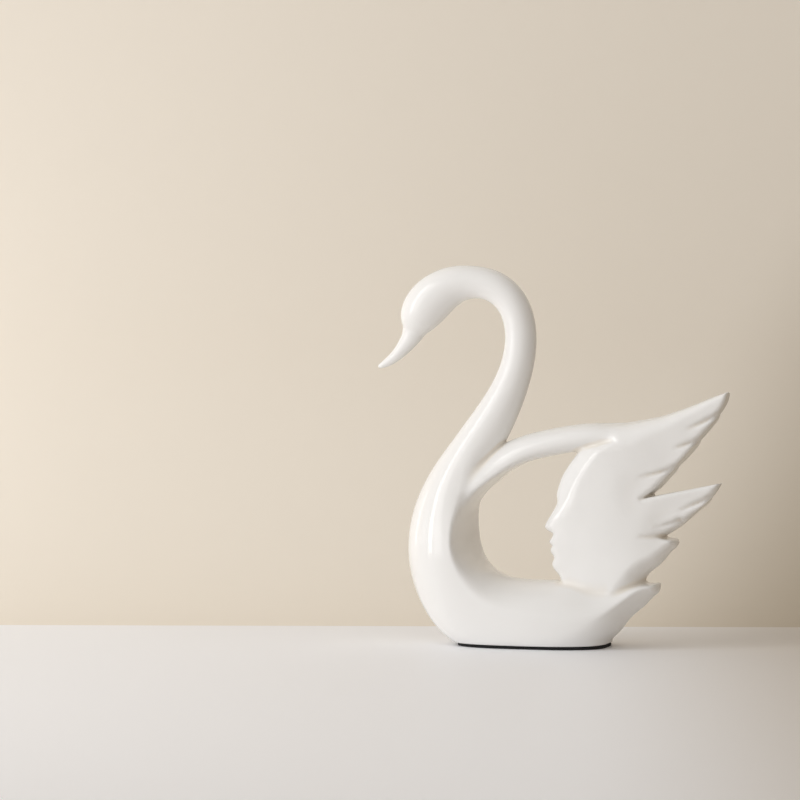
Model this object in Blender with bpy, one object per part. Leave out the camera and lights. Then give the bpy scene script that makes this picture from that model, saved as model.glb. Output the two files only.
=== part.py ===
"""Swan figurine: one white glazed casting on a thin black pad.

The swan faces -X, its front is -Y and its height is +Z. The origin is the middle
of the pad's underside. The casting is the same on its front and its back. Sizes
are in millimetres and are turned into metres where a mesh is made.
"""

import math

import bmesh
import bpy
import numpy as np

MM = 0.001

SWAN_HEIGHT = 209.6
BEAK_REACH = 90.4
WING_REACH = 109.3
DECK_HEIGHT = 36.4

PAD_THICKNESS = 1.5
PAD_GAP = 0.3
PAD_INSET = 0.6
PAD_EDGE = 0.4
FOOT_LENGTH = 85.0
FOOT_WIDTH = 55.0
FOOT_HEIGHT = 5.0
FOOT_POWER = 3.0
FOOT_SIDES = 72

KEEL_DEPTH = 4.0
HULL_HALF_DEPTH = 31.0
BREAST_HALF_DEPTH = 31.5
BREAST_HALF_WIDTH = 17.0
STERN_HALF_DEPTH = 14.3
STERN_LIFT = 15.1
NECK_RADIUS = 8.7
NECK_BASE_RADIUS = 12.5
HEAD_RADIUS = 12.6
BEAK_ROOT_RADIUS = 5.7
BEAK_TIP_RADIUS = 1.1
ARM_HALF_HEIGHT = 7.5
ARM_HALF_DEPTH = 12.4

WING_ROOT = 12.0
WING_HALF_DEPTH = 16.0
FEATHER_HALF_DEPTH = 10.6
WING_TIP_HALF_DEPTH = 5.0
FACE_HALF_DEPTH = 10.5
FACE_EDGE = 2.5

BODY_SIDES = 28
BODY_STEPS = 3
ARM_SIDES = 20
ARM_STEPS = 3
PLAN_STEPS = 3
CUT_PAST = 2.0

WHITE_GLAZE = (0.86, 0.84, 0.81)
BLACK_FOAM = (0.012, 0.012, 0.013)

FOOT_BOTTOM = PAD_THICKNESS + PAD_GAP

# The outlines and stations below are places on this side drawing, whose marks are
# the beak's tip, the middle and the wing's tip, and the table, the deck and the head's top.
DRAWN_X = (-90.4, 0.0, 109.3)
DRAWN_Z = (0.0, 36.4, 209.6)
DRAWN_DECK = DRAWN_Z[1]


def along(x):
    """A place along the drawing, spread to this swan's beak and wing reach."""
    return np.interp(x, DRAWN_X, (-BEAK_REACH, 0, WING_REACH))


def up(z):
    """A height on the drawing, spread to this swan's deck and overall heights."""
    return np.interp(z, DRAWN_Z, (0, DECK_HEIGHT, SWAN_HEIGHT))


def placed(rows):
    """Rows whose first two numbers are a place on the drawing, moved to this swan's."""
    rows = np.array(rows, float)
    rows[:, 0] = along(rows[:, 0])
    rows[:, 1] = up(rows[:, 1])
    return rows


def body_stations():
    """Sections from the front of the head, down the neck and along the hull to the tail.

    Each row is the middle's x and z, the half width in the side view, the half
    depth, how far the widest line lies towards the inner side (1 is all the way),
    and the powers of the superellipse on the outer and on the inner side.
    """
    neck = NECK_RADIUS
    base = NECK_BASE_RADIUS
    head = HEAD_RADIUS
    breast = BREAST_HALF_DEPTH
    hull = HULL_HALF_DEPTH
    wide = BREAST_HALF_WIDTH
    low = (DRAWN_DECK - KEEL_DEPTH) / 2
    tall = DECK_HEIGHT - up(low)
    lift = STERN_LIFT
    stern = STERN_HALF_DEPTH
    return placed((
        (-70.6, 173.2, 0.40 * head, 0.36 * head, 0, 2, 2),
        (-69.7, 175.0, 0.60 * head, 0.55 * head, 0, 2, 2),
        (-67.9, 178.5, 0.80 * head, 0.75 * head, 0, 2, 2),
        (-64.8, 184.0, 0.97 * head, 0.91 * head, 0, 2, 2),
        (-59.5, 190.5, head, 0.94 * head, 0, 2, 2),
        (-53.0, 195.3, 0.94 * head, 0.90 * head, 0, 2, 2),
        (-46.3, 198.6, 0.84 * head, 0.82 * head, 0, 2, 2),
        (-40.1, 200.1, 0.76 * head, 0.75 * head, 0, 2, 2),
        (-33.1, 200.3, neck, neck, 0, 2, 2),
        (-24.7, 198.6, neck, neck, 0, 2, 2),
        (-16.4, 193.3, neck, neck, 0, 2, 2),
        (-10.5, 184.5, neck, neck, 0, 2, 2),
        (-8.0, 172.5, neck, neck, 0, 2, 2),
        (-8.9, 160.5, neck + 0.2, neck + 0.2, 0, 2, 2),
        (-11.7, 149.3, neck + 0.6, neck + 0.5, 0, 2, 2),
        (-16.2, 138.2, 0.82 * base, 0.82 * base, 0, 2, 2),
        (-22.0, 127.2, 0.91 * base, 0.92 * base, 0, 2, 2),
        (-28.6, 116.3, base, base, 0, 2, 2),
        (-35.9, 105.3, 1.04 * base, 1.14 * base, 0.05, 2, 2),
        (-42.9, 94.4, 1.13 * base, 1.34 * base, 0.30, 2, 2.4),
        (-49.2, 83.6, 0.85 * wide, 0.73 * breast, 0.66, 2, 4.5),
        (-53.4, 72.4, 0.89 * wide, 0.87 * breast, 0.80, 2.05, 5),
        (-55.1, 60.5, 0.93 * wide, 0.97 * breast, 0.86, 2.1, 5),
        (-54.6, 49.0, wide, breast, 0.83, 2.1, 4.5),
        (-51.4, 39.3, 1.09 * wide, hull, 0.73, 2.2, 3.6),
        (-46.2, 31.0, 1.16 * wide, hull, 0.63, 2.4, 2.8),
        (-38.0, 22.9, 1.29 * wide, hull, 0.55, 2.9, 2.3),
        (-27.1, 17.8, 1.31 * wide, hull, 0.44, 3.5, 2),
        (-14.5, low, 1.04 * tall, hull, 0.30, 4, 1.8),
        (-1.0, low, tall, hull, 0.15, 4, 1.8),
        (13.5, low, tall, 0.99 * hull, 0.02, 4, 1.9),
        (28.0, low + 0.03 * lift, tall - 0.02 * lift, 0.94 * hull, -0.10, 3.6, 2),
        (38.2, low + 0.26 * lift, tall - 0.24 * lift, 0.86 * hull, -0.20, 2.8, 2.1),
        (45.6, low + 0.58 * lift, tall - 0.52 * lift, 0.75 * hull, -0.30, 2.2, 1.9),
        (52.6, low + 0.77 * lift, tall - 0.71 * lift, 0.64 * hull, -0.18, 1.9, 1.6),
        (58.5, low + 0.89 * lift, tall - 0.87 * lift, 1.20 * stern, -0.04, 1.7, 1.6),
        (64.0, low + 0.97 * lift, tall - 0.97 * lift, 1.03 * stern, 0.30, 1.7, 1.8),
        (68.4, low + lift, tall - 1.07 * lift, 0.90 * stern, 0.6, 1.8, 2),
    ))


def beak_stations():
    """Round sections along the curved beak, from inside the head to its tip."""
    root = BEAK_ROOT_RADIUS
    tip = BEAK_TIP_RADIUS
    return placed((
        (-66.5, 177.5, root + 0.6, root, 0, 2, 2),
        (-70.0, 171.6, root, 0.95 * root, 0, 2, 2),
        (-73.6, 166.4, 0.82 * root, 0.80 * root, 0, 2, 2),
        (-77.8, 161.4, 0.64 * root, 0.66 * root, 0, 2, 2),
        (-82.6, 157.1, 0.49 * root, 0.54 * root, 0, 2, 2),
        (-87.2, 154.3, 0.33 * root, 0.42 * root, 0, 2, 2),
        (-89.9, 153.0, tip, 1.2 * tip, 0, 2, 2),
    ))


def arm_stations():
    """Sections of the arched arm, which becomes the round top edge of the wing."""
    high = ARM_HALF_HEIGHT
    deep = ARM_HALF_DEPTH
    tip = WING_TIP_HALF_DEPTH
    return placed((
        (-47.0, 77.0, 0.80 * high, 1.25 * deep, -0.3, 2.6, 2),
        (-35.3, 90.0, 1.04 * high, 1.42 * deep, -0.45, 3.2, 2),
        (-17.5, 102.8, high, 1.07 * deep, -0.35, 2.6, 2),
        (1.0, 110.3, 0.99 * high, deep, -0.2, 2.3, 2),
        (20.0, 114.3, 0.99 * high, deep, -0.1, 2.1, 2),
        (40.0, 116.5, 0.97 * high, 0.98 * deep, 0, 2, 2),
        (56.0, 119.2, 0.80 * high, 0.90 * deep, 0, 2, 2),
        (72.0, 123.8, 0.58 * high, 0.80 * deep, 0, 2, 2),
        (88.0, 130.8, 0.38 * high, 1.64 * tip, 0, 2, 2),
        (100.0, 136.8, 0.26 * high, 1.28 * tip, 0, 2, 2),
        (108.6, 141.0, 0.11 * high, tip, 0, 2, 2),
    ))


def wing_side_outline():
    """The wing seen from the front: top edge, stepped feather ends, foot and leading edge."""
    feather_ends = (
        ((109.3, 141.6), (107.3, 135.4), (103.4, 128.2)),
        ((103.9, 127.2), (99.3, 121.6), (92.7, 114.4)),
        ((92.4, 112.4), (87.3, 107.6), (80.9, 100.4)),
        ((80.2, 98.2), (74.5, 93.4), (69.6, 87.4), (62.5, 82.3)),
        ((104.8, 91.6), (101.6, 88.2), (98.4, 84.2)),
        ((100.4, 82.6), (93.0, 76.6), (81.4, 70.0)),
        ((80.6, 68.2), (73.0, 64.7), (61.0, 61.4)),
        ((79.2, 59.4), (75.6, 55.2), (68.0, 50.4), (59.9, 46.6), (56.6, 41.4)),
    )
    top_edge = ((38.0, 113.2), (60.0, 117.9), (80.0, 125.7), (96.0, 133.5))
    root = DRAWN_DECK - WING_ROOT
    foot = ((50.0, DRAWN_DECK - WING_ROOT / 4), (46.0, root), (18.0, root))
    leading_edge = ((18.0, 47.0), (18.6, 60.0), (20.4, 72.0), (24.5, 84.0), (30.0, 96.0))
    return placed(top_edge + tuple(p for end in feather_ends for p in end) + foot + leading_edge)


def wing_plan_outline():
    """The wing seen from above, +Y half: how thick it is from its leading edge to its tips."""
    deep = WING_HALF_DEPTH
    feather = FEATHER_HALF_DEPTH
    tip = WING_TIP_HALF_DEPTH
    rows = np.array((
        (14.0, 0.80 * deep),
        (20.0, 0.92 * deep),
        (28.0, 0.99 * deep),
        (38.0, deep),
        (48.0, 0.96 * deep),
        (60.0, 0.91 * deep),
        (70.0, 1.15 * feather),
        (80.0, feather),
        (92.0, 0.85 * feather),
        (102.0, 1.40 * tip),
        (109.3, 0.90 * tip),
    ))
    rows[:, 0] = along(rows[:, 0])
    return rows


def face_outline():
    """The calm profile on the wing's leading edge, on the rule of three equal thirds."""
    hairline, chin = 104.0, 42.0
    third = (hairline - chin) / 3
    brow = hairline - third
    nose_base = brow - third
    mouth = nose_base - third / 3
    profile = (
        (27.0, hairline + 4.0),
        (21.5, hairline - 3.0),
        (17.0, hairline - 10.0),
        (14.6, brow + 3.0),
        (14.2, brow),
        (15.4, brow - 3.6),
        (12.6, brow - 8.5),
        (8.0, nose_base + 5.0),
        (7.4, nose_base + 3.2),
        (9.4, nose_base + 1.4),
        (13.2, nose_base),
        (12.0, nose_base - 2.6),
        (10.4, mouth + 2.6),
        (11.0, mouth + 0.9),
        (12.8, mouth),
        (11.4, mouth - 1.2),
        (11.0, mouth - 3.2),
        (13.4, mouth - 6.0),
        (13.2, chin + 6.6),
        (11.6, chin + 3.6),
        (13.0, chin + 0.8),
        (17.0, chin - 3.0),
    )
    root = DRAWN_DECK - 0.8 * WING_ROOT
    return placed(profile + ((19.0, root), (32.0, root), (36.0, hairline + 7.0)))


def smooth_rows(rows, steps):
    """A Catmull-Rom curve through the rows, with this many steps from each row to the next."""
    rows = np.array(rows, float)
    ends = np.vstack([2 * rows[0] - rows[1], rows, 2 * rows[-1] - rows[-2]])
    before, start, end, after = ends[:-3], ends[1:-2], ends[2:-1], ends[3:]
    parts = []
    for t in np.arange(steps) / steps:
        parts.append(
            0.5 * (2 * start + t * (end - before)
                   + t * t * (2 * before - 5 * start + 4 * end - after)
                   + t ** 3 * (3 * start - before - 3 * end + after))
        )
    curve = np.stack(parts, axis=1).reshape(-1, rows.shape[1])
    return np.vstack([curve, rows[-1]])


def section_rings(stations, steps, sides):
    """Superellipse rings square to the middle line that the stations set."""
    rows = smooth_rows(stations, steps)
    middle, width, depth = rows[:, :2], rows[:, 2:3], rows[:, 3:4]
    ridge, outer_power, inner_power = rows[:, 4:5], rows[:, 5:6], rows[:, 6:7]
    along = np.gradient(middle, axis=0)
    along /= np.linalg.norm(along, axis=1, keepdims=True)
    inward = np.stack([-along[:, 1], along[:, 0]], axis=1)
    angle = np.linspace(0, 2 * math.pi, sides, endpoint=False)
    cosine, sine = np.cos(angle)[None], np.sin(angle)[None]
    power = np.where(cosine > 0, inner_power, outer_power)
    reach = np.where(cosine > 0, width * (1 - ridge), width * (1 + ridge))
    across = width * ridge + reach * np.sign(cosine) * np.abs(cosine) ** (2 / power)
    sideways = depth * np.sign(sine) * np.abs(sine) ** (2 / power)
    x = middle[:, :1] + inward[:, :1] * across
    z = middle[:, 1:] + inward[:, 1:] * across
    return np.stack([x, sideways, z], axis=2)


def new_object(name, points, faces):
    """A mesh object from points in millimetres, with its faces turned outwards."""
    mesh = bpy.data.meshes.new(name)
    mesh.from_pydata((np.asarray(points) * MM).tolist(), [], faces)
    shell = bmesh.new()
    shell.from_mesh(mesh)
    bmesh.ops.recalc_face_normals(shell, faces=shell.faces)
    shell.to_mesh(mesh)
    shell.free()
    obj = bpy.data.objects.new(name, mesh)
    bpy.context.scene.collection.objects.link(obj)
    return obj


def loft(name, stations, steps, sides):
    """A closed skin over the stations' rings, with a flat cap at each end."""
    rings = section_rings(stations, steps, sides)
    count = len(rings)
    faces = []
    for r in range(count - 1):
        for s in range(sides):
            after = (s + 1) % sides
            faces.append((r * sides + s, r * sides + after,
                          (r + 1) * sides + after, (r + 1) * sides + s))
    faces.append(tuple(range(sides))[::-1])
    faces.append(tuple(range((count - 1) * sides, count * sides)))
    return new_object(name, rings.reshape(-1, 3), faces)


def prism(name, outline, low, high, place):
    """A closed prism over an outline; place turns a point and a height into x, y, z."""
    count = len(outline)
    points = [place(p, low) for p in outline] + [place(p, high) for p in outline]
    faces = [tuple(range(count)), tuple(range(count, 2 * count))[::-1]]
    for i in range(count):
        j = (i + 1) % count
        faces.append((i, i + count, j + count, j))
    return new_object(name, points, faces)


def across_depth(point, depth):
    return (point[0], depth, point[1])


def up_height(point, height):
    return (point[0], point[1], height)


def superellipse(length, width, power, sides):
    """A rounded rectangle outline about the origin."""
    outline = []
    for i in range(sides):
        angle = 2 * math.pi * i / sides
        c, s = math.cos(angle), math.sin(angle)
        x = math.copysign(abs(c) ** (2 / power), c) * length / 2
        y = math.copysign(abs(s) ** (2 / power), s) * width / 2
        outline.append((x, y))
    return outline


def boolean(obj, operation, other):
    """Adds a Boolean with a helper that is itself left out of the model."""
    modifier = obj.modifiers.new(operation.title() + " " + other.name, "BOOLEAN")
    modifier.operation = operation
    modifier.solver = "EXACT"
    modifier.object = other
    other.hide_render = True
    other.display_type = "WIRE"


def bevel_rims(obj, axis, width, segments):
    """Rounds the edges of a prism's two flat ends, which lie square to the axis."""
    corners = np.array([vertex.co[axis] for vertex in obj.data.vertices])
    ends = np.array([edge.vertices for edge in obj.data.edges])
    on_rim = np.isclose(corners[ends[:, 0]], corners[ends[:, 1]])
    weights = obj.data.attributes.new("bevel_weight_edge", "FLOAT", "EDGE")
    weights.data.foreach_set("value", on_rim.astype(np.float32))
    modifier = obj.modifiers.new("Bevel", "BEVEL")
    modifier.width = width * MM
    modifier.segments = segments
    modifier.limit_method = "WEIGHT"


def material(name, colour, roughness):
    made = bpy.data.materials.new(name)
    made.use_nodes = True
    made.diffuse_color = (*colour, 1)
    shader = made.node_tree.nodes["Principled BSDF"]
    shader.inputs["Base Color"].default_value = (*colour, 1)
    shader.inputs["Roughness"].default_value = roughness
    shader.inputs["Metallic"].default_value = 0.0
    return made


def wing():
    """The feathered slab: its outline from the front, kept inside its outline from above."""
    outline = wing_side_outline()
    reach = WING_HALF_DEPTH + CUT_PAST
    slab = prism("wing", outline, -reach, reach, across_depth)
    half = smooth_rows(wing_plan_outline(), PLAN_STEPS)
    half[-1, 0] += CUT_PAST
    plan = np.vstack([half, half[::-1] * (1, -1)])
    low, high = outline[:, 1].min(), outline[:, 1].max()
    envelope = prism("wing_thickness", plan, low - CUT_PAST, high + CUT_PAST, up_height)
    boolean(slab, "INTERSECT", envelope)
    return slab


def face_band():
    """The band with the profile, a little thinner than the wing behind it."""
    band = prism("face_band", face_outline(), -FACE_HALF_DEPTH, FACE_HALF_DEPTH, across_depth)
    bevel_rims(band, 1, FACE_EDGE, 2)
    return band


def foot():
    """The low boss that carries the casting, with the pad's outline."""
    outline = superellipse(FOOT_LENGTH, FOOT_WIDTH, FOOT_POWER, FOOT_SIDES)
    return prism("foot", outline, FOOT_BOTTOM, FOOT_HEIGHT, up_height)


def below_foot():
    """Everything under the foot's flat underside, which the hull is cut by."""
    size = FOOT_LENGTH + FOOT_WIDTH
    square = [(-size, -size), (size, -size), (size, size), (-size, size)]
    return prism("below_foot", square, -DECK_HEIGHT, FOOT_BOTTOM, up_height)


def swan():
    """The one casting: neck and hull, beak, arm, wing, profile and foot made one."""
    obj = loft("swan", body_stations(), BODY_STEPS, BODY_SIDES)
    boolean(obj, "UNION", loft("beak", beak_stations(), BODY_STEPS, ARM_SIDES))
    boolean(obj, "UNION", loft("arm", arm_stations(), ARM_STEPS, ARM_SIDES))
    boolean(obj, "UNION", wing())
    boolean(obj, "UNION", face_band())
    boolean(obj, "DIFFERENCE", below_foot())
    boolean(obj, "UNION", foot())
    obj.data.materials.append(material("white glazed ceramic", WHITE_GLAZE, 0.12))
    obj.data.shade_smooth()
    return obj


def base_pad():
    """The thin non-slip pad, set in a little from the foot's edge."""
    outline = superellipse(FOOT_LENGTH - 2 * PAD_INSET, FOOT_WIDTH - 2 * PAD_INSET,
                           FOOT_POWER, FOOT_SIDES)
    obj = prism("base_pad", outline, 0.0, PAD_THICKNESS, up_height)
    bevel_rims(obj, 2, PAD_EDGE, 2)
    obj.data.materials.append(material("black foam", BLACK_FOAM, 0.9))
    return obj


def main():
    for obj in list(bpy.data.objects):
        bpy.data.objects.remove(obj)
    swan()
    base_pad()


main()
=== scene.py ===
"""White glazed swan figurine on a black rubber pad, in a plain studio.

The swan is one seamless casting, so it is modelled as one field: a number for each
point of space that is negative inside the clay and zero on its skin. The field is a
function of numpy arrays, and a surface net turns its zero level into a mesh. Sizes
are millimetres on the side drawing until a mesh is made, and metres after that.
"""

import math

import bpy
import numpy as np
from mathutils import Euler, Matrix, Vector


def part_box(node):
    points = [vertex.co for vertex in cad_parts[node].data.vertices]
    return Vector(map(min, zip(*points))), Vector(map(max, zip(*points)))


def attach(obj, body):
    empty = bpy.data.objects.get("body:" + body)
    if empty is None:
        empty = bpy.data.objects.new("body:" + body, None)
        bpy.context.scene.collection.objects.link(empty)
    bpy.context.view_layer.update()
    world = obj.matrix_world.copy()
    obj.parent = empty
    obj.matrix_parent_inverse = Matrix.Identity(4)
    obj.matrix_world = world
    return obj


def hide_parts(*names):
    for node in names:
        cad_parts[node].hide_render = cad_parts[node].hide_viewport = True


MM = 0.001

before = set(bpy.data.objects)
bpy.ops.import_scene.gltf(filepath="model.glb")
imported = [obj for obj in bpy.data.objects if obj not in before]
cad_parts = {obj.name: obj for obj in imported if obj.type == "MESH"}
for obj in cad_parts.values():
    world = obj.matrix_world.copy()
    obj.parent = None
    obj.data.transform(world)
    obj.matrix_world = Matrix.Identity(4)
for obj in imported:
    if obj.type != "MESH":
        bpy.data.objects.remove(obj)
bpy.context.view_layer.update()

# Side drawing: where the beak's tip, the middle and the wing's tip lie, and the
# table, the deck and the top of the head.
DECK_HEIGHT = 36.4
DRAWN_X = (-90.4, 0.0, 109.3)
DRAWN_Z = (0.0, DECK_HEIGHT, 209.6)

# The foot is a superellipse of this power.
FOOT_LENGTH = 85.0
FOOT_WIDTH = 55.0
FOOT_TOP = 5.0
FOOT_POWER = 3.0

# How much the tubes' rows are eased, and the lengths of their rounded ends.
BODY_EASE = 0.25
BODY_CAPS = (2.5, 3.2)
BEAK_EASE = 0.05
BEAK_CAPS = (1.2, 1.2)
ARM_EASE = 0.05
ARM_CAPS = (1.5, 1.5)

# Half the wing's depth at the ridge, how fast the face band in front of it falls away,
# how wide the ridge is rounded at each height, and how far round a place its set depth
# counts.
RIDGE_DEPTH = 15.6
BAND_SLOPE = 0.54
RIDGE_ROUND_HEIGHTS = (45, 60, 76, 90)
RIDGE_ROUND = (18, 13, 4, 2.5)
DEPTH_REACH = 6.5
GROOVE_DEPTH = 2.8
GROOVE_WIDTH = 1.5

# The radius of the wing's edges at each x, from the face band back to the tips.
EDGE_PLACES = (14, 30, 60, 105)
EDGE_RADII = (3.2, 3.0, 2.3, 1.6)

# Fillets where the casting's forms meet. The arm's is wide at the breast and narrow
# at the neck, between these heights.
BEAK_FILLET = 4.0
ARM_FILLET = (8, 2)
ARM_FILLET_HEIGHTS = (86, 104)
WING_FILLET = 5.0
FOOT_FILLET = 3.0
FOOT_RIM = 2.0
BOTTOM_EDGE = 1.0

PAD_RIM = 0.35
PAD_SIDES = 160

# Spacing of the grid that the skin is found on, and how far it goes past the swan.
GRID_STEP = 0.93
GRID_MARGIN = 3.0

# The net's points are evened out and pulled onto the skin in rounds: how many, the
# share of the way to the neighbours' mean, how many pulls, the longest pull, and the
# least squared slope that a pull counts on.
EVEN_ROUNDS = 3
EVEN_SHARE = 0.6
PULLS = 2
LONGEST_PULL = 0.4
LEAST_SLOPE = 0.5
HOLLOW_ROUNDS = 6

# Degrees, metres and, for the lens, millimetres on a 36 mm sensor.
CAMERA_AZIMUTH = 15.0
CAMERA_AIM = 16.776
CAMERA_PITCH = 2.328
CAMERA_DISTANCE = 2.4
CAMERA_HEIGHT = 0.233
CAMERA_LENS = 195.9


def swan_ends():
    """The swan's lowest and highest corner in millimetres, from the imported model."""
    low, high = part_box("swan")
    return np.array(low) / MM, np.array(high) / MM


def drawn(rows):
    """Rows whose first two numbers are a place on the side drawing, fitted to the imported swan."""
    low, high = swan_ends()
    rows = np.array(rows, float)
    rows[:, 0] = np.interp(rows[:, 0], DRAWN_X, (low[0], 0, high[0]))
    rows[:, 1] = np.interp(rows[:, 1], DRAWN_Z, (0, DECK_HEIGHT, high[2]))
    return rows


def body_rows():
    """Sections from the head down the neck and breast and along the hull to the tail.

    Each row is the middle's x and z, the half width in the side view, the half depth,
    how far the widest line lies towards the inner side (1 is all the way), and the
    superellipse powers of the outer and of the inner side.
    """
    return drawn((
        (-70.6, 173.2, 5.0, 4.5, 0, 2, 2),
        (-69.7, 175.0, 7.6, 6.9, 0, 2, 2),
        (-67.9, 178.5, 10.1, 9.5, 0, 2, 2),
        (-64.8, 184.0, 12.2, 11.5, 0, 2, 2),
        (-59.5, 190.5, 12.6, 11.8, 0, 2, 2),
        (-53.0, 195.3, 11.8, 11.3, 0, 2, 2),
        (-46.3, 198.6, 10.6, 10.3, 0, 2, 2),
        (-40.1, 199.8, 9.55, 9.5, 0, 2, 2),
        (-33.1, 199.95, 8.8, 8.8, 0, 2, 2),
        (-24.7, 198.6, 8.7, 8.7, 0, 2, 2),
        (-16.4, 193.3, 8.7, 8.7, 0, 2, 2),
        (-10.5, 184.5, 8.7, 8.7, 0, 2, 2),
        (-8.0, 172.5, 8.7, 8.7, 0, 2, 2),
        (-8.9, 160.5, 8.9, 8.9, 0, 2, 2),
        (-11.7, 149.3, 9.3, 9.2, 0, 2, 2),
        (-16.2, 138.2, 10.2, 10.2, 0, 2, 2),
        (-22.0, 127.2, 11.4, 11.5, 0, 2, 2),
        (-28.6, 116.3, 12.5, 12.6, 0, 2, 2),
        (-35.9, 105.3, 13.0, 14.3, 0.05, 2, 2),
        (-42.9, 94.4, 14.1, 17.0, 0.30, 2, 2.4),
        (-49.2, 83.6, 14.5, 23.0, 0.66, 2, 4.5),
        (-53.4, 72.4, 15.1, 27.4, 0.80, 2.05, 5),
        (-55.1, 60.5, 15.8, 30.6, 0.86, 2.1, 5),
        (-54.4, 49.1, 16.8, 31.3, 0.83, 2.1, 4.5),
        (-51.0, 39.6, 18.1, 31.0, 0.73, 2.2, 3.6),
        (-45.8, 31.4, 19.3, 31.0, 0.63, 2.4, 2.8),
        (-37.8, 23.3, 21.5, 31.0, 0.55, 2.9, 2.3),
        (-27.1, 17.8, 22.3, 31.0, 0.44, 3.5, 2),
        (-14.5, 16.2, 21.0, 31.0, 0.30, 4, 1.8),
        (-1.0, 16.2, 20.2, 31.0, 0.15, 4, 1.8),
        (13.5, 16.2, 20.2, 30.7, 0.02, 4, 1.9),
        (28.0, 16.7, 19.9, 29.1, -0.10, 2.7, 1.9),
        (38.2, 20.2, 16.6, 26.7, -0.16, 1.8, 1.7),
        (45.6, 25.0, 12.6, 23.4, -0.26, 1.42, 1.55),
        (52.6, 27.4, 10.0, 20.2, -0.15, 1.3, 1.5),
        (58.4, 28.9, 8.0, 17.8, 0.12, 1.28, 1.6),
        (62.5, 30.8, 5.7, 15.6, 0.34, 1.3, 1.7),
        (65.5, 31.9, 4.3, 13.6, 0.48, 1.45, 1.8),
        (68.0, 32.6, 3.2, 11.8, 0.50, 1.7, 2),
    ))


def beak_rows():
    """Sections of the curved beak, from inside the head to its tip, as in body_rows."""
    return drawn((
        (-66.5, 177.5, 6.3, 5.7, 0, 2, 2),
        (-70.0, 171.6, 5.7, 5.4, 0, 2, 2),
        (-73.6, 166.4, 4.7, 4.6, 0, 2, 2),
        (-77.8, 161.4, 3.6, 3.8, 0, 2, 2),
        (-82.6, 157.1, 2.8, 3.1, 0, 2, 2),
        (-87.2, 154.3, 1.9, 2.4, 0, 2, 2),
        (-89.1, 153.4, 1.3, 1.6, 0, 2, 2),
    ))


def arm_rows():
    """Sections of the arm that arches back from the breast into the wing, as in body_rows."""
    return drawn((
        (-50.0, 73.0, 4.5, 8.0, 0, 2, 2),
        (-43.5, 81.5, 6.5, 13.5, -0.5, 2.4, 1.8),
        (-35.3, 90.0, 7.8, 17.4, -0.72, 3.2, 1.7),
        (-26.5, 97.0, 7.7, 15.2, -0.74, 3.0, 1.7),
        (-17.5, 102.8, 7.5, 13.4, -0.66, 2.6, 1.75),
        (-8.5, 107.1, 7.4, 12.7, -0.45, 2.4, 1.85),
        (1.0, 110.3, 7.4, 12.4, -0.25, 2.3, 2),
        (20.0, 114.3, 7.4, 12.4, -0.1, 2.1, 2),
        (36.0, 116.2, 7.2, 12.2, 0, 2, 2),
        (50.0, 116.5, 5.5, 10.5, 0, 2, 2),
        (62.0, 115.5, 3.0, 7.0, 0, 2, 2),
    ))


def wing_face_rows():
    """The edge of the wing's flat faces: x, z and how much of each side a rounded corner takes.

    It runs along the top, down the stepped feather ends, into the hull and up inside
    the face band.
    """
    return drawn((
        (34.0, 118.6, 4), (44.0, 122.3, 4), (56.0, 124.5, 4), (72.0, 127.6, 4), (88.0, 133.2, 4),
        (100.0, 138.3, 3), (109.1, 141.7, 1.0), (108.4, 137.0, 2), (105.7, 132.2, 2), (103.2, 129.0, 0.6),
        (103.6, 127.2, 0.8), (98.4, 121.6, 3), (92.4, 114.9, 0.7),
        (92.4, 113.0, 0.8), (85.8, 105.4, 3), (80.7, 100.6, 0.7),
        (79.8, 98.4, 0.8), (75.2, 94.0, 3), (70.0, 88.4, 3), (62.5, 82.3, 1.5),
        (104.9, 91.4, 1.2), (102.4, 88.6, 2), (98.0, 83.6, 0.7),
        (100.0, 82.4, 1.0), (96.6, 79.0, 2), (86.4, 72.6, 3), (82.4, 71.2, 0.8),
        (83.0, 70.2, 0.8), (79.2, 67.6, 2), (71.0, 63.9, 2), (62.0, 61.8, 1.5),
        (79.9, 59.9, 1.2), (76.4, 56.7, 2), (69.5, 51.0, 3), (64.0, 48.6, 2), (60.0, 45.6, 3),
        (56.6, 42.4, 3), (54.6, 38.8, 3), (50.0, 33.4, 3), (46.0, 24.4, 0), (18.0, 24.4, 0),
        (18.0, 47.0, 3), (18.6, 60.0, 3), (20.4, 72.0, 3), (24.5, 84.0, 3), (30.0, 96.0, 3),
        (31.5, 108.0, 3),
    ))


def wing_middle_rows():
    """The wing's outline on its middle plane, where the feathers' steps are filled in."""
    return drawn((
        (34.0, 118.6, 4), (44.0, 122.3, 4), (56.0, 124.5, 4), (72.0, 127.6, 4), (88.0, 133.2, 4),
        (100.0, 138.3, 3), (109.2, 141.5, 1.0), (108.3, 136.0, 3), (105.8, 131.3, 3), (102.9, 126.2, 3),
        (99.6, 121.4, 3), (93.5, 114.4, 3), (88.0, 108.0, 3), (81.6, 100.4, 3), (75.6, 93.4, 3),
        (70.6, 87.6, 3), (65.0, 83.4, 1.5),
        (105.3, 91.3, 1.2), (103.0, 86.8, 3), (99.7, 82.5, 3), (93.5, 76.6, 3), (88.0, 71.6, 3),
        (84.2, 68.2, 3), (80.2, 65.4, 3), (73.5, 61.4, 1.0),
        (80.2, 59.8, 0.8), (81.6, 58.4, 0.8), (80.0, 55.4, 2), (77.4, 53.6, 2), (73.4, 48.4, 3),
        (70.4, 45.4, 3), (66.8, 42.8, 3), (63.6, 39.8, 3), (61.0, 34.0, 3), (52.0, 24.4, 0),
        (18.0, 24.4, 0),
        (18.0, 47.0, 3), (18.6, 60.0, 3), (20.4, 72.0, 3), (24.5, 84.0, 3), (30.0, 96.0, 3),
        (31.5, 108.0, 3),
    ))


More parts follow.
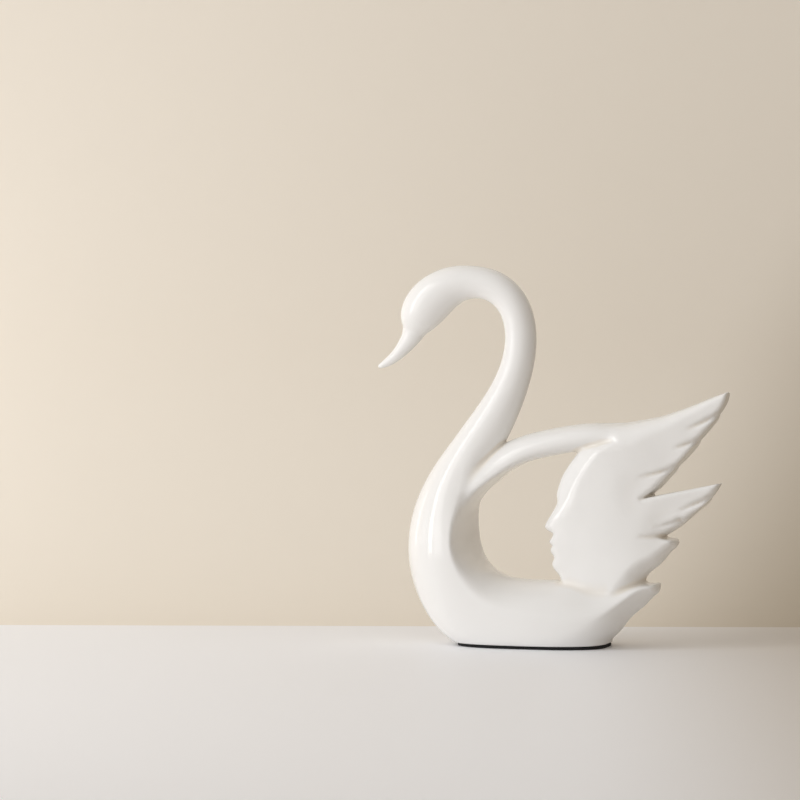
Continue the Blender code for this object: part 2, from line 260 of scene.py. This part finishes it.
def top_edge_rows():
    """The wing's top line: x and z, and how wide the rounded strip below it is."""
    return drawn((
        (30.0, 116.0, 11), (44.0, 122.4, 15), (56.0, 124.6, 14), (66.0, 126.4, 11), (76.0, 128.9, 9),
        (90.0, 134.2, 6.5), (102.0, 139.2, 4), (109.3, 142.0, 2.5),
    ))


def face_outline_rows():
    """The calm profile on the wing's leading edge, on the rule of three equal thirds."""
    hairline, chin = 104.0, 42.0
    third = (hairline - chin) / 3
    brow = hairline - third
    nose_base = brow - third
    mouth = nose_base - third / 3
    return drawn((
        (28.5, hairline + 8.0, 0), (27.0, hairline + 4.0, 3), (21.5, hairline - 3.0, 4),
        (17.0, hairline - 10.0, 4),
        (14.6, brow + 3.0, 3), (14.2, brow, 2), (15.4, brow - 3.6, 2.5),
        (12.6, brow - 8.5, 4), (8.0, nose_base + 5.0, 1.2), (7.4, nose_base + 3.2, 1.2),
        (9.4, nose_base + 1.4, 1.5), (13.2, nose_base, 1), (12.0, nose_base - 2.6, 1.2),
        (10.4, mouth + 2.6, 0.8), (11.0, mouth + 0.9, 0.8), (12.8, mouth, 0.6),
        (11.4, mouth - 1.2, 0.6), (11.0, mouth - 3.2, 1), (13.4, mouth - 6.0, 1.6),
        (13.2, chin + 6.6, 1.4), (11.6, chin + 3.6, 1.6), (13.0, chin + 0.8, 1.6),
        (17.0, chin - 3.0, 3), (19.0, 26.8, 0), (32.0, 26.8, 0), (46.0, hairline + 9.0, 0),
    ))


def wing_depths():
    """Half the wing's depth at places on the drawing: x, z, half depth."""
    return drawn((
        (108, 139, 5.4), (103, 133, 7.2), (102, 126, 7.8), (96, 134, 8.2), (92, 128, 9.4),
        (92, 115, 9.2), (80, 122, 11.0), (80, 112, 11.2), (80, 101, 10.2), (71, 93, 11.6),
        (70, 120, 12.8), (68, 106, 13.0), (66, 90, 12.8), (60, 116, 14.6), (57, 100, 14.8),
        (48, 112, 15.6), (46, 92, 16.0), (38, 100, 15.9), (36, 80, 16.1), (30, 92, 15.6),
        (48, 76, 16.1), (38, 60, 16.1), (26, 66, 15.2), (26, 48, 14.6), (38, 42, 16.0),
        (60, 84, 14.4), (104, 91, 5.6), (100, 83, 6.6), (96, 88, 7.2), (90, 77, 8.8),
        (86, 86, 9.4), (81, 70, 10.0), (76, 82, 11.2), (66, 78, 13.4), (79, 66, 10.0),
        (77, 58, 10.6), (72, 63, 11.6), (70, 51, 14.0), (64, 60, 15.2), (61, 46, 16.4),
        (52, 60, 16.2), (54, 42, 16.8), (60, 66, 15.0),
    ))


def ridge_rows():
    """The rounded ridge between the flat of the wing and the face band: x at each z."""
    return drawn((
        (31.0, 28.0), (28.0, 36.0), (23.0, 46.0), (20.4, 58.0), (20.8, 71.5), (23.3, 78.7), (26.0, 85.3),
        (28.8, 92.5), (34.5, 101.9), (40.3, 109.1), (50.4, 113.6),
    ))


def groove_rows():
    """Grooves that run from the notches into the wing's flat: each is a chain of x, z."""
    return tuple(drawn(chain) for chain in (
        ((104.6, 128.6), (97.5, 125.2), (86.5, 120.0)),
        ((93.6, 114.4), (88.0, 112.7), (80.0, 110.2)),
        ((81.8, 99.8), (74.0, 97.4), (61.0, 94.2)),
        ((100.4, 83.3), (93.0, 80.4), (82.5, 75.6)),
        ((84.4, 71.0), (78.0, 68.9), (69.5, 66.2)),
    ))


def spline(rows, ease):
    """Control points of the cubic B-spline through the rows, after easing them.

    Easing finds the rows with the least sum of squared shifts plus ease times the
    squared second differences. The ends have no bend.
    """
    count = len(rows)
    bend = np.diff(np.eye(count), 2, axis=0)
    eased = np.linalg.solve(np.eye(count) + ease * bend.T @ bend, rows)
    blend = (np.eye(count, k=-1) + 4 * np.eye(count) + np.eye(count, k=1)) / 6
    blend[0], blend[-1] = np.eye(count)[0], np.eye(count)[-1]
    inner = np.linalg.solve(blend, eased)
    return np.vstack([2 * inner[0] - inner[1], inner, 2 * inner[-1] - inner[-2]])


def on_spline(control, t, order=0):
    """The B-spline at t, or its first or second derivative: four controls times cubic weights."""
    whole = np.clip(np.floor(t).astype(int), 0, len(control) - 4)
    s = t - whole
    weights = (
        ((1 - s) ** 3 / 6, (3 * s ** 3 - 6 * s ** 2 + 4) / 6,
         (-3 * s ** 3 + 3 * s ** 2 + 3 * s + 1) / 6, s ** 3 / 6),
        (-(1 - s) ** 2 / 2, (3 * s ** 2 - 4 * s) / 2, (-3 * s ** 2 + 2 * s + 1) / 2, s ** 2 / 2),
        (1 - s, 3 * s - 2, 1 - 3 * s, s),
    )[order]
    return sum(weight[:, None] * control[whole + i] for i, weight in enumerate(weights))


def nearest(control, x, z):
    """The t of the middle line's nearest point to each x, z: the best of even samples, then Newton."""
    end = len(control) - 3
    t = np.linspace(0, end, 6 * end + 1)
    line = on_spline(control[:, :2], t)
    best = np.empty(x.size)
    for some in np.array_split(np.arange(x.size), x.size // 30000 + 1):
        apart = (x[some, None] - line[:, 0]) ** 2 + (z[some, None] - line[:, 1]) ** 2
        best[some] = t[apart.argmin(axis=1)]
    for _ in range(4):
        here, run, turn = (on_spline(control[:, :2], best, order) for order in range(3))
        gap = np.stack([x, z], axis=1) - here
        speed = (run ** 2).sum(axis=1)
        slope = np.maximum(speed - (gap * turn).sum(axis=1), 0.3 * speed)
        best = np.clip(best + np.clip((gap * run).sum(axis=1) / slope, -0.2, 0.2), 0, end)
    return best


def tube_plan(rows, ease, caps, x, z):
    """What a tube's field needs at each x, z.

    It is the offset over its reach, the reach, half depth, power, overrun past an end
    and cap. Caps are the lengths of the rounded ends past the first and the last row.
    """
    control = spline(rows, ease)
    t = nearest(control, x, z)
    values = on_spline(control, t)
    run = on_spline(control[:, :2], t, 1)
    run /= np.linalg.norm(run, axis=1, keepdims=True)
    dx, dz = x - values[:, 0], z - values[:, 1]
    width, depth, ridge, outer, inner = values[:, 2:].T
    across = dz * run[:, 0] - dx * run[:, 1] - width * ridge
    reach = width * np.where(across > 0, 1 - ridge, 1 + ridge)
    power = np.where(across > 0, inner, outer)
    overrun = np.abs(dx * run[:, 0] + dz * run[:, 1])
    cap = np.where(t < len(rows) / 2, *caps)
    return np.abs(across) / reach, reach, depth, power, overrun, cap


def tube_field(plan, y):
    """Distance to a superellipse tube: (size - 1) over the slope of size.

    Size is the power mean of offset over reach, y over half depth and overrun over cap.
    """
    across, reach, depth, power, overrun, cap = plan
    ratios = (np.maximum(across, 1e-3), np.maximum(np.abs(y) / depth, 1e-3), overrun / cap)
    lengths = (reach, depth, cap)
    size = sum(ratio ** power for ratio in ratios) ** (1 / power)
    steep = sum((ratio ** (power - 1) / length) ** 2 for ratio, length in zip(ratios, lengths))
    return (size - 1) / (size ** (1 - power) * np.sqrt(steep))


def rounded_outline(rows, steps=4):
    """A closed outline whose corners are parabolas that start the given length before each corner."""
    corner, take = rows[:, :2], rows[:, 2:3]
    parts = []
    for t in np.linspace(0, 1, steps + 1):
        point = corner.copy()
        for shift, weight in ((1, (1 - t) ** 2), (-1, t ** 2)):
            way = np.roll(corner, shift, axis=0) - corner
            length = np.linalg.norm(way, axis=1, keepdims=True)
            point = point + weight * way * np.minimum(take / length, 0.48)
        parts.append(point)
    return np.stack(parts, axis=1).reshape(-1, 2)


def outline_distance(points, x, z):
    """Distance to a closed outline, negative inside: nearest side, signed by the even-odd rule."""
    best = np.full(x.shape, 1e9)
    inside = np.zeros(x.shape, bool)
    for (ax, az), (bx, bz) in zip(points, np.roll(points, -1, axis=0)):
        length = (bx - ax) ** 2 + (bz - az) ** 2
        if length < 1e-9:
            continue
        share = np.clip(((x - ax) * (bx - ax) + (z - az) * (bz - az)) / length, 0, 1)
        best = np.minimum(best, (x - ax - share * (bx - ax)) ** 2 + (z - az - share * (bz - az)) ** 2)
        if az != bz:
            inside ^= ((az > z) != (bz > z)) & (x < ax + (z - az) * (bx - ax) / (bz - az))
    return np.where(inside, -1, 1) * np.sqrt(best)


def chain_place(points, x, z):
    """How far each x, z is from an open chain, and how far along it the nearest point is, 0 to 1."""
    length = np.concatenate([[0], np.cumsum(np.linalg.norm(np.diff(points, axis=0), axis=1))])
    best = np.full(x.shape, 1e9)
    along = np.zeros(x.shape)
    for i in range(len(points) - 1):
        (ax, az), (bx, bz) = points[i], points[i + 1]
        size = (length[i + 1] - length[i]) ** 2
        share = np.clip(((x - ax) * (bx - ax) + (z - az) * (bz - az)) / size, 0, 1)
        apart = (x - ax - share * (bx - ax)) ** 2 + (z - az - share * (bz - az)) ** 2
        nearer = apart < best
        best = np.where(nearer, apart, best)
        along = np.where(nearer, length[i] + share * (length[i + 1] - length[i]), along)
    return np.sqrt(best), along / length[-1]


def smooth_min(a, b, k):
    """The smaller of two fields, with a cubic fillet where they differ by less than k."""
    near = np.maximum(k - np.abs(a - b), 0) / k
    return np.minimum(a, b) - near ** 3 * k / 6


def smooth_max(a, b, k):
    """The larger of two fields, with the same fillet."""
    return -smooth_min(-a, -b, k)


def set_depth(x, z):
    """Half the wing's depth: the mean of the set depths, weighted by a Gaussian of the distance."""
    weight = np.zeros(x.shape)
    depth = np.zeros(x.shape)
    for px, pz, half in wing_depths():
        near = np.exp(-((x - px) ** 2 + (z - pz) ** 2) / (2 * DEPTH_REACH ** 2)) + 1e-12
        weight += near
        depth += near * half
    return depth / weight


def wing_plan(x, z):
    """What the slab's field needs at each x, z of a grid.

    It is the distance to both outlines, the half depth, its steepness and the edge's
    radius. In front of the ridge the half depth falls away at a steady slope, each
    groove takes a Gaussian valley that fades along it, and below the top line it
    rises as a quarter ellipse.
    """
    profile = outline_distance(rounded_outline(face_outline_rows()), x, z)
    face, middle = (smooth_min(outline_distance(rounded_outline(rows), x, z), profile, 1.0)
                    for rows in (wing_face_rows(), wing_middle_rows()))
    ridge = ridge_rows()
    front = np.interp(z, ridge[:, 1], ridge[:, 0])
    round_over = np.interp(z, RIDGE_ROUND_HEIGHTS, RIDGE_ROUND)
    band = RIDGE_DEPTH + BAND_SLOPE * (x - front) + round_over / 6
    depth = smooth_min(set_depth(x, z), band, round_over)
    for chain in groove_rows():
        apart, along = chain_place(chain, x, z)
        width = GROOVE_WIDTH * (1 - 0.3 * along)
        depth -= GROOVE_DEPTH * (1 - along) * np.exp(-(apart / width) ** 2)
    top = top_edge_rows()
    below = np.interp(x, top[:, 0], top[:, 1]) - z
    share = np.clip(below / np.interp(x, top[:, 0], top[:, 2]), 0, 1)
    depth *= np.sqrt(np.maximum(1 - (1 - share) ** 2, 0.01))
    steep = np.sqrt(1 + sum(slope ** 2 for slope in np.gradient(depth, GRID_STEP)))
    edge = np.interp(x, EDGE_PLACES, EDGE_RADII)
    return face, middle, depth, steep, np.minimum(edge, 0.6 * depth)


def slab_field(plan, y):
    """Distance to a slab with rounded edges: its side and its face meet in an arc.

    The side leans: on the middle plane it is the middle outline, on the faces the
    stepped one, and between them it follows the square of the height over the depth.
    """
    face, middle, depth, steep, radius = plan
    lean = np.minimum(np.abs(y) / depth, 1) ** 2
    side = middle + (face - middle) * lean + radius
    flat = (np.abs(y) - depth) / steep + radius
    corner = np.sqrt(np.maximum(side, 0) ** 2 + np.maximum(flat, 0) ** 2)
    return np.minimum(np.maximum(side, flat), 0) + corner - radius


def swan_field(x, y, z):
    """The whole casting: tubes and slab fused with fillets, seated on its foot and cut flat below.

    Only values near zero are used, so the rest is cut off at two grid steps.
    """
    plane_x, plane_z = np.meshgrid(x, z, indexing="ij")
    across = y[None, :, None].astype(np.float32)
    up = z[None, None, :].astype(np.float32)

    def spread(plan):
        return [a.reshape(len(x), 1, len(z)).astype(np.float32) for a in plan]

    def tube(rows, ease, caps):
        return tube_field(spread(tube_plan(rows, ease, caps, plane_x.ravel(), plane_z.ravel())), across)

    beak = tube(beak_rows(), BEAK_EASE, BEAK_CAPS)
    field = smooth_min(tube(body_rows(), BODY_EASE, BODY_CAPS), beak, BEAK_FILLET)
    arm_fillet = np.interp(z, ARM_FILLET_HEIGHTS, ARM_FILLET).astype(np.float32)
    field = smooth_min(field, tube(arm_rows(), ARM_EASE, ARM_CAPS), arm_fillet)
    field = smooth_min(field, slab_field(spread(wing_plan(plane_x, plane_z)), across), WING_FILLET)
    oval = ((np.abs(x[:, None]) / (FOOT_LENGTH / 2)) ** FOOT_POWER
            + (np.abs(y[None, :]) / (FOOT_WIDTH / 2)) ** FOOT_POWER) ** (1 / FOOT_POWER)
    wall = ((oval - 1) * FOOT_WIDTH / 2)[:, :, None].astype(np.float32)
    field = smooth_min(field, smooth_max(wall, up - FOOT_TOP, FOOT_RIM), FOOT_FILLET)
    foot_bottom = swan_ends()[0][2]
    return np.clip(smooth_max(field, foot_bottom - up, BOTTOM_EDGE), -2 * GRID_STEP, 2 * GRID_STEP)


def surface_net(values, low, step):
    """Points and squares of a field's zero level.

    Each grid cell that the level crosses gets one point, the mean of the crossings on
    its edges. Each grid edge that it crosses gets the square of the four cells round it.
    """
    shape = np.array(values.shape) - 1
    total = np.zeros((*shape, 3), np.float32)
    count = np.zeros(shape, np.int8)
    inside = values < 0
    crossings = []
    for axis in range(3):
        second, third = (axis + 1) % 3, (axis + 2) % 3
        start, end = [slice(None)] * 3, [slice(None)] * 3
        start[axis], end[axis] = slice(None, -1), slice(1, None)
        a, b = values[tuple(start)], values[tuple(end)]
        crossed = inside[tuple(start)] != inside[tuple(end)]
        share = np.where(crossed, a / np.where(crossed, a - b, 1), 0)
        crossings.append(crossed)
        for i in (0, 1):
            for j in (0, 1):
                window = [slice(None)] * 3
                window[second] = slice(i, i + shape[second])
                window[third] = slice(j, j + shape[third])
                here = crossed[tuple(window)]
                count += here
                total[..., axis] += share[tuple(window)]
                total[..., second] += i * here
                total[..., third] += j * here
    cells = np.argwhere(count > 0)
    index = np.full(shape, -1)
    index[tuple(cells.T)] = np.arange(len(cells))
    mean = total[tuple(cells.T)] / count[tuple(cells.T)][:, None]
    points = low + step * (cells + mean)
    squares = []
    for axis, crossed in enumerate(crossings):
        second, third = (axis + 1) % 3, (axis + 2) % 3
        edges = np.argwhere(crossed)
        corners = []
        for i, j in ((1, 1), (0, 1), (0, 0), (1, 0)):
            cell = edges.copy()
            cell[:, second] -= i
            cell[:, third] -= j
            corners.append(index[tuple(cell.T)])
        square = np.stack(corners, axis=1)
        outwards = inside[tuple(edges.T)]
        squares.append(np.where(outwards[:, None], square, square[:, ::-1]))
    return points, np.concatenate(squares)


def sampled(values, low, step, points):
    """A gridded field and its slope at the points, by Catmull-Rom weights along each axis."""
    place = (points - low) / step
    whole = np.clip(np.floor(place).astype(int), 1, np.array(values.shape) - 3)
    s = place - whole
    weights = np.stack([(-s + 2 * s ** 2 - s ** 3) / 2, (2 - 5 * s ** 2 + 3 * s ** 3) / 2,
                        (s + 4 * s ** 2 - 3 * s ** 3) / 2, (s ** 3 - s ** 2) / 2])
    slopes = np.stack([(-1 + 4 * s - 3 * s ** 2) / 2, (-10 * s + 9 * s ** 2) / 2,
                       (1 + 8 * s - 9 * s ** 2) / 2, (3 * s ** 2 - 2 * s) / 2])
    value = np.zeros(len(points))
    slope = np.zeros((len(points), 3))
    for i in range(4):
        for j in range(4):
            for k in range(4):
                tap = values[whole[:, 0] + i - 1, whole[:, 1] + j - 1, whole[:, 2] + k - 1]
                wx, wy, wz = weights[i, :, 0], weights[j, :, 1], weights[k, :, 2]
                value += tap * wx * wy * wz
                slope[:, 0] += tap * slopes[i, :, 0] * wy * wz
                slope[:, 1] += tap * wx * slopes[j, :, 1] * wz
                slope[:, 2] += tap * wx * wy * slopes[k, :, 2]
    return value, slope / step


def neighbour_mean(squares, values):
    """For each point, the mean of the values at the points it shares a side with."""
    first = squares.ravel()
    second = np.roll(squares, -1, axis=1).ravel()
    count = np.bincount(first, minlength=len(values)) + np.bincount(second, minlength=len(values))
    total = [np.bincount(first, column[second], len(values))
             + np.bincount(second, column[first], len(values)) for column in values.T]
    return np.stack(total, axis=1) / count[:, None]


def new_mesh(name, points, faces):
    """A smooth-shaded mesh object at the origin, from points in millimetres."""
    mesh = bpy.data.meshes.new(name)
    mesh.from_pydata((np.asarray(points) * MM).tolist(), [], faces)
    mesh.shade_smooth()
    mesh.update()
    obj = bpy.data.objects.new(name, mesh)
    bpy.context.scene.collection.objects.link(obj)
    return obj


def swan():
    """The casting's skin: the field's surface net, evened out and then pulled onto the zero level."""
    low, high = swan_ends()
    start = low - GRID_MARGIN
    count = np.ceil((high + GRID_MARGIN - start) / GRID_STEP).astype(int)
    start[1] = -GRID_STEP * (count[1] - 1) / 2
    x, y, z = (start[i] + GRID_STEP * np.arange(count[i]) for i in range(3))
    values = swan_field(x, y, z)
    points, squares = surface_net(values, start, GRID_STEP)
    for _ in range(EVEN_ROUNDS):
        points += EVEN_SHARE * (neighbour_mean(squares, points) - points)
        for _ in range(PULLS):
            value, slope = sampled(values, start, GRID_STEP, points)
            move = np.clip(value, -LONGEST_PULL, LONGEST_PULL)[:, None] * slope
            points -= move / np.maximum((slope ** 2).sum(axis=1, keepdims=True), LEAST_SLOPE)
    normal = slope / np.linalg.norm(slope, axis=1, keepdims=True)
    hollow = ((neighbour_mean(squares, points) - points) * normal).sum(axis=1, keepdims=True)
    for _ in range(HOLLOW_ROUNDS):
        hollow = neighbour_mean(squares, hollow)
    obj = new_mesh("swan_casting", points, squares.tolist())
    pooled = obj.data.attributes.new("pooled", "FLOAT", "POINT")
    pooled.data.foreach_set("value", (hollow[:, 0] / GRID_STEP).astype(np.float32))
    return obj


def rubber_pad():
    """The pad: a rounded rim carried round a superellipse, closed by a point above and below."""
    low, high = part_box("base_pad")
    length, width, height = (np.array(high) - np.array(low)) / MM
    around = np.linspace(0, 2 * math.pi, PAD_SIDES, endpoint=False)
    cosine, sine = np.cos(around), np.sin(around)
    oval = np.stack([np.sign(cosine) * np.abs(cosine) ** (2 / FOOT_POWER) * length / 2,
                     np.sign(sine) * np.abs(sine) ** (2 / FOOT_POWER) * width / 2], axis=1)
    turn = np.linspace(-math.pi / 2, math.pi / 2, 9)
    rim = np.where(turn < 0, PAD_RIM * (1 + np.sin(turn)), height - PAD_RIM * (1 - np.sin(turn)))
    flat = [14, 7, 2.5]
    insets = [*flat, *(PAD_RIM * (1 - np.cos(turn))), *flat[::-1]]
    heights = [0] * len(flat) + list(rim) + [height] * len(flat)
    rings = []
    for inset, up in zip(insets, heights):
        scale = 1 - 2 * inset / np.array([length, width])
        rings.append(np.column_stack([oval * scale, np.full(len(oval), up)]))
    count, sides = len(rings), len(oval)
    points = np.vstack([*rings, [[0, 0, 0]], [[0, 0, height]]])
    ring, side = np.meshgrid(np.arange(count - 1), np.arange(sides), indexing="ij")
    after = (side + 1) % sides
    faces = np.stack([ring * sides + side, ring * sides + after, (ring + 1) * sides + after,
                      (ring + 1) * sides + side], axis=-1).reshape(-1, 4).tolist()
    bottom, top, last_ring = count * sides, count * sides + 1, (count - 1) * sides
    for here in range(sides):
        there = (here + 1) % sides
        faces += [[bottom, there, here], [top, last_ring + here, last_ring + there]]
    return new_mesh("rubber_pad", points, faces)


def linear(colour):
    """A hex sRGB colour as linear RGBA."""
    channels = [int(colour[i:i + 2], 16) / 255 for i in (1, 3, 5)]
    return tuple(c / 12.92 if c <= 0.04045 else ((c + 0.055) / 1.055) ** 2.4 for c in channels) + (1.0,)


def node(tree, kind, links=None, **settings):
    """Adds a node, sets its properties and inputs, and links the given sockets to its inputs."""
    made = tree.nodes.new(kind)
    for name, value in settings.items():
        if name.startswith("in_"):
            made.inputs[name[3:].replace("_", " ")].default_value = value
        else:
            setattr(made, name, value)
    for name, socket in (links or {}).items():
        tree.links.new(socket, made.inputs[name])
    return made


def new_material(name):
    """A material, its node tree and its shader."""
    made = bpy.data.materials.new(name)
    made.use_nodes = True
    return made, made.node_tree, made.node_tree.nodes["Principled BSDF"]


def white_glaze():
    """Glossy white glaze on slip-cast stoneware: a hard clear shine over a chalky body.

    The glaze pools a little creamier in hollows, and its surface has the faint long
    waves of a sprayed and fired glass.
    """
    made, tree, shader = new_material("white_glazed_ceramic")
    place = node(tree, "ShaderNodeTexCoord")
    drift = node(tree, "ShaderNodeTexNoise", {"Vector": place.outputs["Object"]},
                 in_Scale=22.0, in_Detail=3.0)
    pooled = node(tree, "ShaderNodeAttribute", attribute_name="pooled")
    hollow = node(tree, "ShaderNodeMapRange", {"Value": pooled.outputs["Fac"]}, in_From_Max=0.05)
    tone = node(tree, "ShaderNodeMix", {"Factor": drift.outputs["Fac"]}, data_type="RGBA")
    tone.inputs["A"].default_value = linear("#F5F4F2")
    tone.inputs["B"].default_value = linear("#F1F0EE")
    glaze = node(tree, "ShaderNodeMix", {"Factor": hollow.outputs["Result"]}, data_type="RGBA")
    tree.links.new(tone.outputs["Result"], glaze.inputs["A"])
    glaze.inputs["B"].default_value = linear("#ECE6DC")
    tree.links.new(glaze.outputs["Result"], shader.inputs["Base Color"])
    waves = node(tree, "ShaderNodeTexNoise", {"Vector": place.outputs["Object"]},
                 in_Scale=90.0, in_Detail=1.0)
    bump = node(tree, "ShaderNodeBump", {"Height": waves.outputs["Fac"]},
                in_Strength=0.12, in_Distance=0.0004)
    tree.links.new(bump.outputs["Normal"], shader.inputs["Normal"])
    shader.inputs["Roughness"].default_value = 0.07
    shader.inputs["IOR"].default_value = 1.52
    return made


def black_rubber():
    """Black EVA rubber sheet, die cut: matt, with fine closed cells."""
    made, tree, shader = new_material("black_eva_rubber")
    place = node(tree, "ShaderNodeTexCoord")
    cells = node(tree, "ShaderNodeTexVoronoi", {"Vector": place.outputs["Object"]}, in_Scale=2500.0)
    tone = node(tree, "ShaderNodeMix", {"Factor": cells.outputs["Distance"]}, data_type="RGBA")
    tone.inputs["A"].default_value = linear("#1A1A1B")
    tone.inputs["B"].default_value = linear("#0E0E0F")
    tree.links.new(tone.outputs["Result"], shader.inputs["Base Color"])
    bump = node(tree, "ShaderNodeBump", {"Height": cells.outputs["Distance"]},
                in_Strength=0.5, in_Distance=0.0002)
    tree.links.new(bump.outputs["Normal"], shader.inputs["Normal"])
    shader.inputs["Roughness"].default_value = 0.82
    return made


def matt_with_painted_shadow(name, colour, shade, roughness):
    """A matt stage material with a painted shadow: its colour darkens into the shade colour low down on
    the right.
    """
    made, tree, shader = new_material(name)
    place = node(tree, "ShaderNodeTexCoord")
    # Painted shadow: the share of the shade colour rises towards the lower right.
    painted_shadow_way = node(tree, "ShaderNodeVectorMath", {"Vector": place.outputs["Object"]},
                     operation="DOT_PRODUCT")
    turn = math.radians(CAMERA_AZIMUTH)
    painted_shadow_way.inputs[1].default_value = (math.cos(turn), math.sin(turn), -0.6)
    painted_shadow_share = node(tree, "ShaderNodeMapRange", {"Value": painted_shadow_way.outputs["Value"]},
                interpolation_type="SMOOTHSTEP", in_From_Max=0.2)
    tone = node(tree, "ShaderNodeMix", {"Factor": painted_shadow_share.outputs["Result"]}, data_type="RGBA")
    tone.inputs["A"].default_value = linear(colour)
    tone.inputs["B"].default_value = linear(shade)
    tree.links.new(tone.outputs["Result"], shader.inputs["Base Color"])
    shader.inputs["Roughness"].default_value = roughness
    return made


def stage_strip(name, profile, half_width, made):
    """A strip of floor or backdrop: a profile of (back, up) in metres, carried across the view."""
    turn = math.radians(CAMERA_AZIMUTH)
    profile = np.array(profile)
    points = []
    for side in (-half_width, half_width):
        x = side * math.cos(turn) - profile[:, 0] * math.sin(turn)
        y = side * math.sin(turn) + profile[:, 0] * math.cos(turn)
        points.append(np.column_stack([x, y, profile[:, 1]]))
    count = len(profile)
    faces = [[i, i + count, i + 1 + count, i + 1] for i in range(count - 1)]
    obj = new_mesh(name, np.vstack(points) / MM, faces)
    obj.data.materials.append(made)


def stage():
    """A white floor that ends behind the swan, and a warm pale backdrop that curves up from it."""
    floor_start, floor_end, half_width = -2.0, 0.11, 2.5
    drop, curve, wall_top = 0.0005, 0.16, 2.5
    # Both stage materials carry a painted shadow that darkens them low down on the right.
    stage_strip("floor", ((floor_start, 0.0), (floor_end, 0.0)), half_width,
                matt_with_painted_shadow("floor_white", "#F8F9FC", "#CDC5BB", 0.5))
    turn = np.linspace(0, math.pi / 2, 17)
    bend = [(floor_end + curve * math.sin(a), curve * (1 - math.cos(a)) - drop) for a in turn]
    stage_strip("backdrop", [*bend, (floor_end + curve, wall_top)], half_width,
                matt_with_painted_shadow("backdrop_beige", "#EEE6D9", "#B5A996", 0.8))


def soft_box(name, azimuth, elevation, distance, size, power, colour):
    """A rectangular soft light that faces the swan's middle from a direction given in degrees."""
    lamp = bpy.data.lights.new(name, "AREA")
    lamp.shape = "RECTANGLE"
    lamp.size, lamp.size_y = size
    lamp.energy = power
    lamp.color = linear(colour)[:3]
    obj = bpy.data.objects.new(name, lamp)
    turn, rise = math.radians(azimuth), math.radians(elevation)
    way = np.array([math.cos(turn) * math.cos(rise), math.sin(turn) * math.cos(rise), math.sin(rise)])
    obj.location = np.array([0, 0, 0.11]) + distance * way
    obj.rotation_euler = (math.pi / 2 - rise, 0, turn + math.pi / 2)
    bpy.context.scene.collection.objects.link(obj)


def lights():
    """A tall bright strip at the front left, a dim wide one beside it, and a narrow one at the left.

    The room is pale towards them and a warm shade on the far side: each way's colour
    follows its share of the way to the tall strip.
    """
    soft_box("key_strip", -145, 18, 1.1, (0.20, 1.0), 2.4, "#FFFCFA")
    soft_box("key_wide", -128, 18, 1.1, (0.34, 0.95), 1.65, "#FFFCFA")
    soft_box("side_strip", 172, 6, 0.5, (0.035, 0.24), 0.055, "#FFFFFF")
    world = bpy.data.worlds.new("room")
    world.use_nodes = True
    tree = world.node_tree
    way = node(tree, "ShaderNodeTexCoord")
    towards = node(tree, "ShaderNodeVectorMath", operation="DOT_PRODUCT")
    tree.links.new(way.outputs["Generated"], towards.inputs[0])
    towards.inputs[1].default_value = (-0.84, -0.48, 0.26)
    share = node(tree, "ShaderNodeMapRange", {"Value": towards.outputs["Value"]}, in_From_Min=-1.0)
    room = node(tree, "ShaderNodeMix", {"Factor": share.outputs["Result"]}, data_type="RGBA")
    room.inputs["A"].default_value = linear("#826F54")
    room.inputs["B"].default_value = linear("#F4F5F6")
    tree.links.new(room.outputs["Result"], tree.nodes["Background"].inputs["Color"])
    bpy.context.scene.world = world


def camera():
    """The photograph's viewpoint: a long lens a little above the swan's head."""
    lens = bpy.data.cameras.new("camera")
    lens.sensor_width = 36
    lens.lens = CAMERA_LENS
    lens.clip_end = 20
    obj = bpy.data.objects.new("camera", lens)
    azimuth = math.radians(CAMERA_AZIMUTH)
    obj.location = (CAMERA_DISTANCE * math.sin(azimuth), -CAMERA_DISTANCE * math.cos(azimuth),
                    CAMERA_HEIGHT)
    obj.rotation_euler = Euler((math.radians(90 - CAMERA_PITCH), 0, math.radians(CAMERA_AIM)))
    bpy.context.scene.collection.objects.link(obj)
    bpy.context.scene.camera = obj


def main():
    camera()
    lights()
    stage()
    casting = swan()
    casting.data.materials.append(white_glaze())
    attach(casting, "root")
    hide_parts("swan")
    pad = rubber_pad()
    pad.data.materials.append(black_rubber())
    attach(pad, "root")
    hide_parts("base_pad")
    bpy.context.scene.view_settings.view_transform = "Standard"


main()
